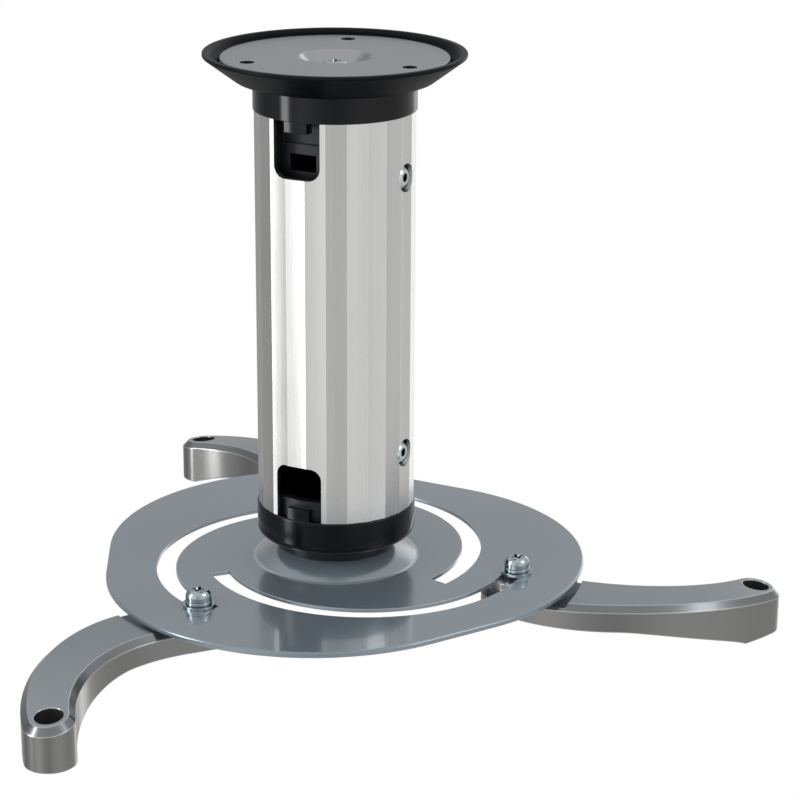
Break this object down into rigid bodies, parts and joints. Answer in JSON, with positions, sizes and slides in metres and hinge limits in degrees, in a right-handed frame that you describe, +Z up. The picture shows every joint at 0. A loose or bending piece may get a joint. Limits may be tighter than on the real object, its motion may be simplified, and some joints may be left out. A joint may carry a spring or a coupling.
{
  "type": "projector ceiling mount",
  "caption": "Projector ceiling mount: a round ceiling plate and cover, a swivelling tube, a tilting dished disc and curved arms that slide and swing to reach the projector's screw holes.",
  "frame": {"origin": "centre of the ceiling plate's top face, the face that lies against the ceiling", "axes": "+Z up towards the ceiling along the column; +Y towards one of the three ceiling screw holes; +X towards the right-hand arm, to within ten degrees"},
  "size_m": [0.264, 0.3041, 0.2206],
  "materials": {
    "plate_steel": "satin grey paint on pressed steel",
    "cover_plastic": "black satin moulding",
    "collar_plastic": "black gloss moulding",
    "tube_aluminium": "brushed lengthways and clear anodised",
    "disc_steel": "blue-grey gloss paint on pressed steel",
    "arm_casting": "grey satin lacquer on a die casting",
    "zinc_steel": "bright zinc plate",
    "slip_plastic": "natural nylon"
  },
  "bodies": {
    "plate": {"ceiling_plate": "plate_steel"},
    "cover": {"ceiling_cover": "cover_plastic"},
    "column": {"swivel_screw": "zinc_steel", "swivel_slip_washer": "slip_plastic", "swivel_flat_washer": "zinc_steel", "swivel_nut": "zinc_steel", "upper_collar": "collar_plastic", "column_tube": "tube_aluminium", "upper_column_screws": "zinc_steel", "lower_column_screws": "zinc_steel", "lower_collar": "collar_plastic", "seat_ring": "collar_plastic", "clamp_bolt": "zinc_steel", "clamp_spring_washer": "zinc_steel", "clamp_nut": "zinc_steel"},
    "clamp_washer": {"pressure_washer": "zinc_steel"},
    "liner": {"friction_liner": "slip_plastic"},
    "disc": {"mounting_disc": "disc_steel"},
    "slider_right": {"arm_screw_right": "zinc_steel", "spring_washer_right": "zinc_steel", "flat_washer_right": "zinc_steel"},
    "arm_right": {"arm_right": "arm_casting"},
    "slider_back": {"arm_screw_back": "zinc_steel", "spring_washer_back": "zinc_steel", "flat_washer_back": "zinc_steel"},
    "arm_back": {"arm_back": "arm_casting"},
    "slider_left": {"arm_screw_left": "zinc_steel", "spring_washer_left": "zinc_steel", "flat_washer_left": "zinc_steel"},
    "arm_left": {"arm_left": "arm_casting"}
  },
  "joints": [
    {"name": "column_swivel", "type": "hinge", "parent": "plate", "child": "column", "pos_m": [0, 0, 0], "axis": [0, 0, 1], "continuous": true},
    {"name": "cover_slide", "type": "slide", "parent": "column", "child": "cover", "axis": [0, 0, 1], "range_m": [-0.15, 0]},
    {"name": "disc_pan", "type": "hinge", "parent": "column", "child": "clamp_washer", "pos_m": [0, 0, -0.23395], "axis": [0, 0, 1], "continuous": true},
    {"name": "disc_tilt", "type": "hinge", "parent": "clamp_washer", "child": "liner", "pos_m": [0, 0, -0.23395], "axis": [1, 0, 0], "range_deg": [-10, 10]},
    {"name": "disc_turn", "type": "hinge", "parent": "liner", "child": "disc", "pos_m": [0, 0, -0.23395], "axis": [0, 0, 1], "continuous": true},
    {"name": "right_arm_slide", "type": "hinge", "parent": "disc", "child": "slider_right", "pos_m": [0.01182, 0.00208, -0.19509], "axis": [0, 0, 1], "range_deg": [-90, 2]},
    {"name": "right_arm_swing", "type": "hinge", "parent": "slider_right", "child": "arm_right", "pos_m": [0.07117, -0.00988, -0.19509], "axis": [0, 0, 1], "range_deg": [-120, 120]},
    {"name": "back_arm_slide", "type": "hinge", "parent": "disc", "child": "slider_back", "pos_m": [-0.00771, 0.00919, -0.19509], "axis": [0, 0, 1], "range_deg": [-90, 2]},
    {"name": "back_arm_swing", "type": "hinge", "parent": "slider_back", "child": "arm_back", "pos_m": [-0.02783, 0.06631, -0.19509], "axis": [0, 0, 1], "range_deg": [-120, 120]},
    {"name": "left_arm_slide", "type": "hinge", "parent": "disc", "child": "slider_left", "pos_m": [-0.0041, -0.01128, -0.19509], "axis": [0, 0, 1], "range_deg": [-90, 2]},
    {"name": "left_arm_swing", "type": "hinge", "parent": "slider_left", "child": "arm_left", "pos_m": [-0.04286, -0.0578, -0.19509], "axis": [0, 0, 1], "range_deg": [-120, 120]}
  ]
}
